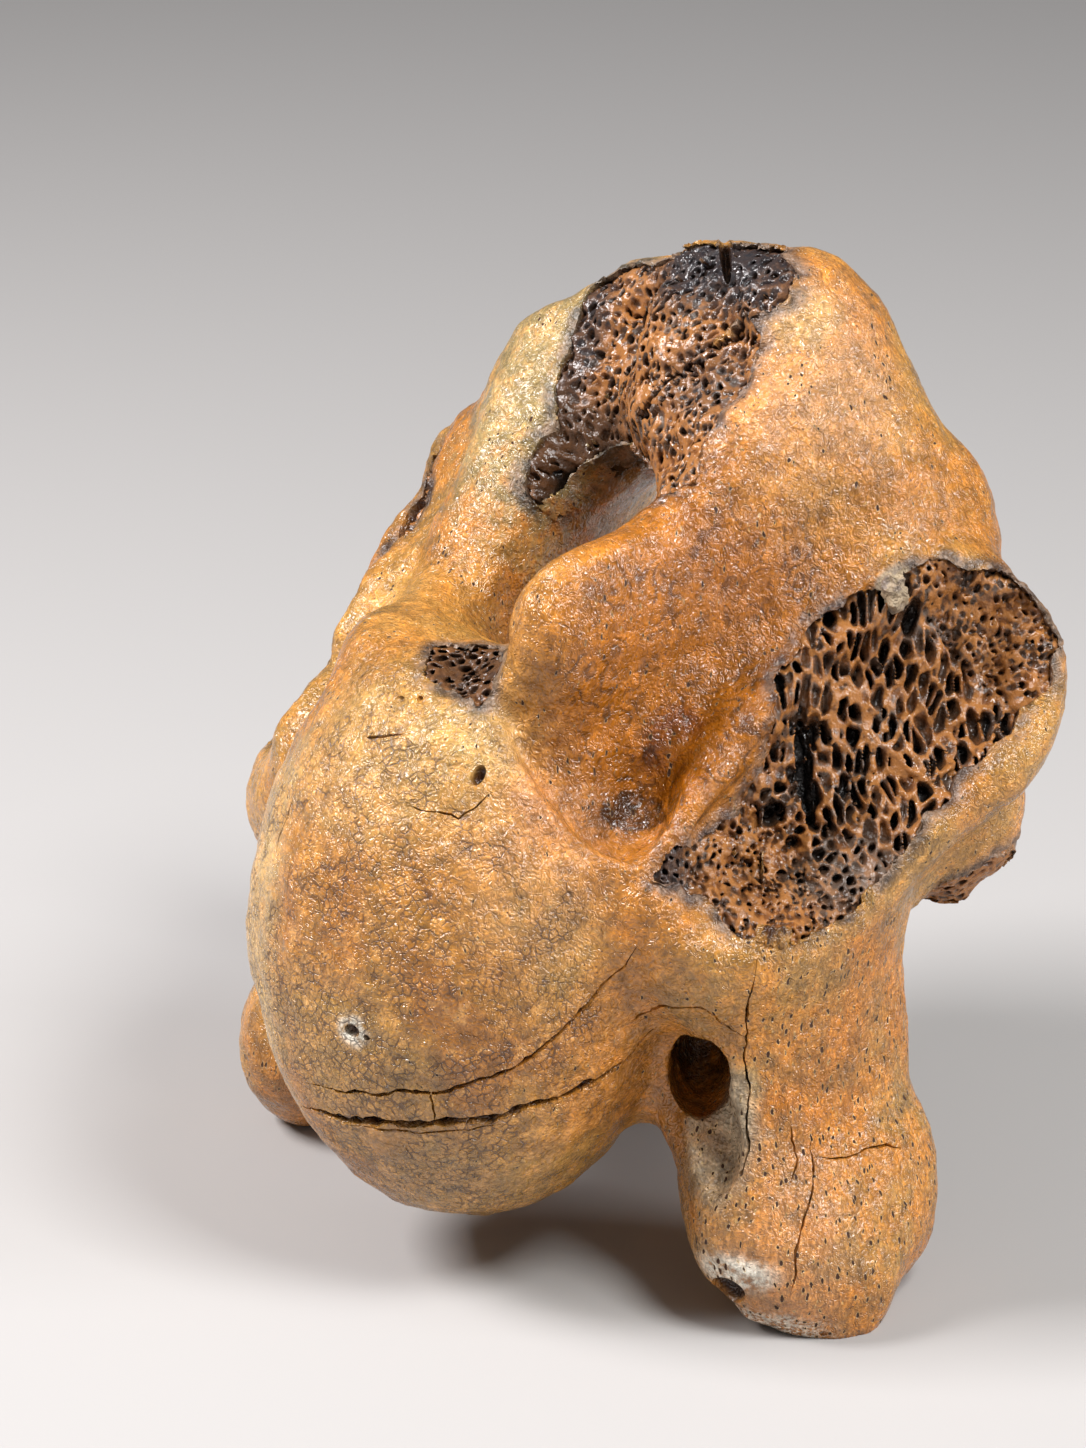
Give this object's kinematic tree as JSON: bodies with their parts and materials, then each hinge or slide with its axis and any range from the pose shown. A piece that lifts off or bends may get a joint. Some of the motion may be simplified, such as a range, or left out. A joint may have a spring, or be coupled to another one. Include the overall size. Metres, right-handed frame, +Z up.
{
  "type": "fossil bison vertebra",
  "caption": "Broken fossil cervical vertebra of a bison, with a domed head, an open neural arch and spongy bone showing in its breaks; it stands on the feet of its ventral laminae.",
  "frame": {"origin": "middle of the bounding box at floor level", "axes": "-Y towards the animal's head, where the domed head of the centrum faces, +X towards the animal's left side, +Z up"},
  "size_m": [0.1222, 0.0968, 0.1379],
  "materials": {
    "cortex": "varnished amber fossil bone",
    "spongiosa": "open spongy bone, dark in its cells"
  },
  "bodies": {
    "root": {"centrum": "cortex", "neural_arch": "cortex", "spinous_process": "cortex", "transverse_process_left": "cortex", "transverse_process_right": "cortex", "ventral_lamina_left": "cortex", "ventral_lamina_right": "cortex", "caudal_articular_process_left": "cortex", "caudal_articular_process_right": "cortex", "spongiosa_spine": "spongiosa", "spongiosa_flank_left": "spongiosa", "spongiosa_flank_right": "spongiosa", "spongiosa_tubercle_left": "spongiosa", "spongiosa_tubercle_right": "spongiosa", "spongiosa_canal_rim": "spongiosa"}
  },
  "joints": []
}
